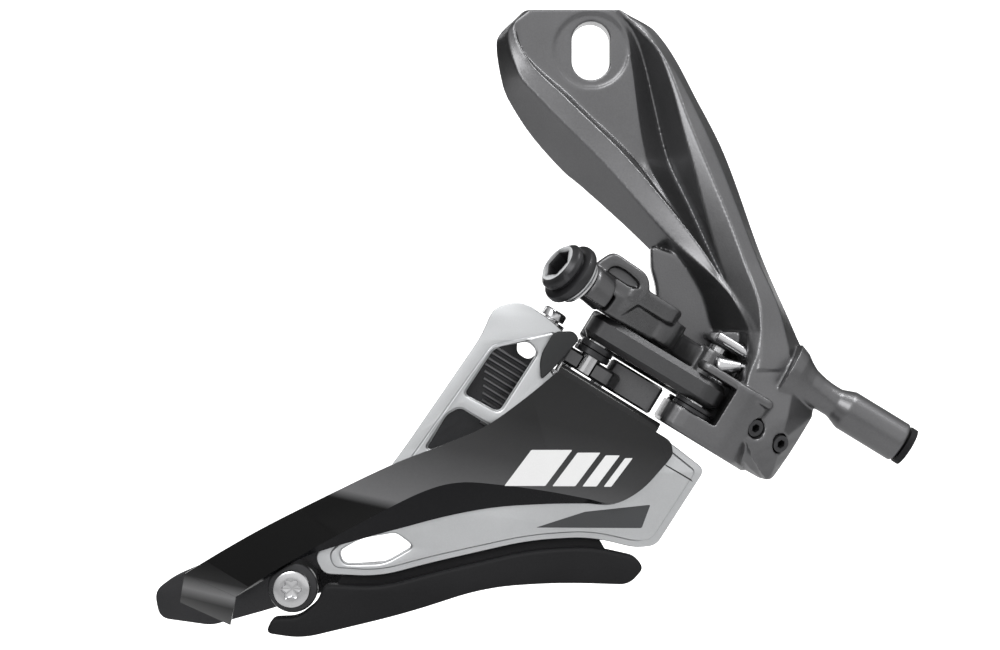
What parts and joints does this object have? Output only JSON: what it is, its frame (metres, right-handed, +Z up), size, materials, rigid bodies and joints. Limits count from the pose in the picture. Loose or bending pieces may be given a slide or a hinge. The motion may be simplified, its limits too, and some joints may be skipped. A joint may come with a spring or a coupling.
{
  "type": "front derailleur",
  "caption": "Side-swing front derailleur with a slotted direct-mount bracket, a parallelogram linkage with a cable anchor, and a two-plate chain cage with a skid plate.",
  "frame": {"origin": "centre of the mounting slot on the bracket's flat back face", "axes": "+X to the front of the bicycle, +Y inboard out of the back face, +Z up"},
  "size_m": [0.1442, 0.0378, 0.1191],
  "materials": {
    "anodised_alloy": "dark grey satin anodised",
    "dark_alloy": "black satin anodised",
    "gloss_black": "glossy black",
    "black_steel": "black satin",
    "silver_alloy": "bead-blasted silver",
    "bright_steel": "bright plated",
    "spring_steel": "drawn wire",
    "black_plastic": "fine matte texture",
    "grey_plastic": "dark grey matte"
  },
  "bodies": {
    "bracket": {"mount_bracket": "anodised_alloy", "cable_inlet_liner": "black_plastic", "cable_guide_tube": "bright_steel", "guide_nose": "bright_steel", "outer_front_pin": "bright_steel", "inner_front_pin": "bright_steel", "outer_front_washer": "black_steel", "inner_front_washer": "black_steel"},
    "low_screw": {"low_limit_screw": "black_steel"},
    "high_screw": {"high_limit_screw": "black_steel"},
    "outer_link": {"outer_link": "anodised_alloy", "outer_front_bush": "grey_plastic", "outer_rear_bush": "grey_plastic"},
    "inner_link": {"inner_link": "dark_alloy", "inner_front_bush": "grey_plastic", "inner_rear_bush": "grey_plastic", "anchor_washer": "silver_alloy", "anchor_clamp_plate": "bright_steel", "return_spring": "spring_steel"},
    "anchor": {"anchor_bolt": "black_steel"},
    "cage": {"cage_carrier": "dark_alloy", "carrier_rivet_1": "bright_steel", "carrier_rivet_2": "bright_steel", "outer_rear_pin": "bright_steel", "inner_rear_pin": "bright_steel", "outer_rear_washer": "black_steel", "inner_rear_washer": "black_steel", "spring_cap": "dark_alloy", "plate_lug": "grey_plastic", "outer_frame_plate": "gloss_black", "outer_guide_plate": "silver_alloy", "skid_plate": "black_plastic", "inner_guide_plate": "black_steel", "bridge_screw": "bright_steel", "bridge_washer": "bright_steel", "tail_screw": "bright_steel", "tail_spacer": "black_steel"}
  },
  "joints": [
    {"name": "link_swing", "type": "hinge", "parent": "bracket", "child": "outer_link", "pos_m": [0.01945, -0.03, -0.0658], "axis": [0.5225, 0, 0.8526], "range_deg": [0, 27], "stiffness_Nm_per_rad": 0.2, "springref_deg": -34.38},
    {"name": "inner_link_swing", "type": "hinge", "parent": "bracket", "child": "inner_link", "pos_m": [0.01945, -0.017, -0.0658], "axis": [0.5225, 0, 0.8526], "range_deg": [0, 27]},
    {"name": "cage_swing", "type": "hinge", "parent": "outer_link", "child": "cage", "pos_m": [0.002, -0.0253, -0.05511], "axis": [0.5225, 0, 0.8526], "range_deg": [-27, 0]},
    {"name": "anchor_bolt_turn", "type": "hinge", "parent": "inner_link", "child": "anchor", "pos_m": [-0.00739, -0.034, -0.04243], "axis": [-0.6935, -0.4493, 0.5632], "range_deg": [0, 720]},
    {"name": "low_screw_turn", "type": "hinge", "parent": "bracket", "child": "low_screw", "pos_m": [0.02909, -0.03036, -0.07265], "axis": [0.4263, -0.866, -0.2612], "range_deg": [-360, 360]},
    {"name": "high_screw_turn", "type": "hinge", "parent": "bracket", "child": "high_screw", "pos_m": [0.03404, -0.02816, -0.07568], "axis": [0.4263, -0.866, -0.2612], "range_deg": [-360, 360]}
  ],
  "couplings": [
    {"joint": "inner_link_swing", "follows": "link_swing", "ratio": 1},
    {"joint": "cage_swing", "follows": "link_swing", "ratio": -1}
  ]
}
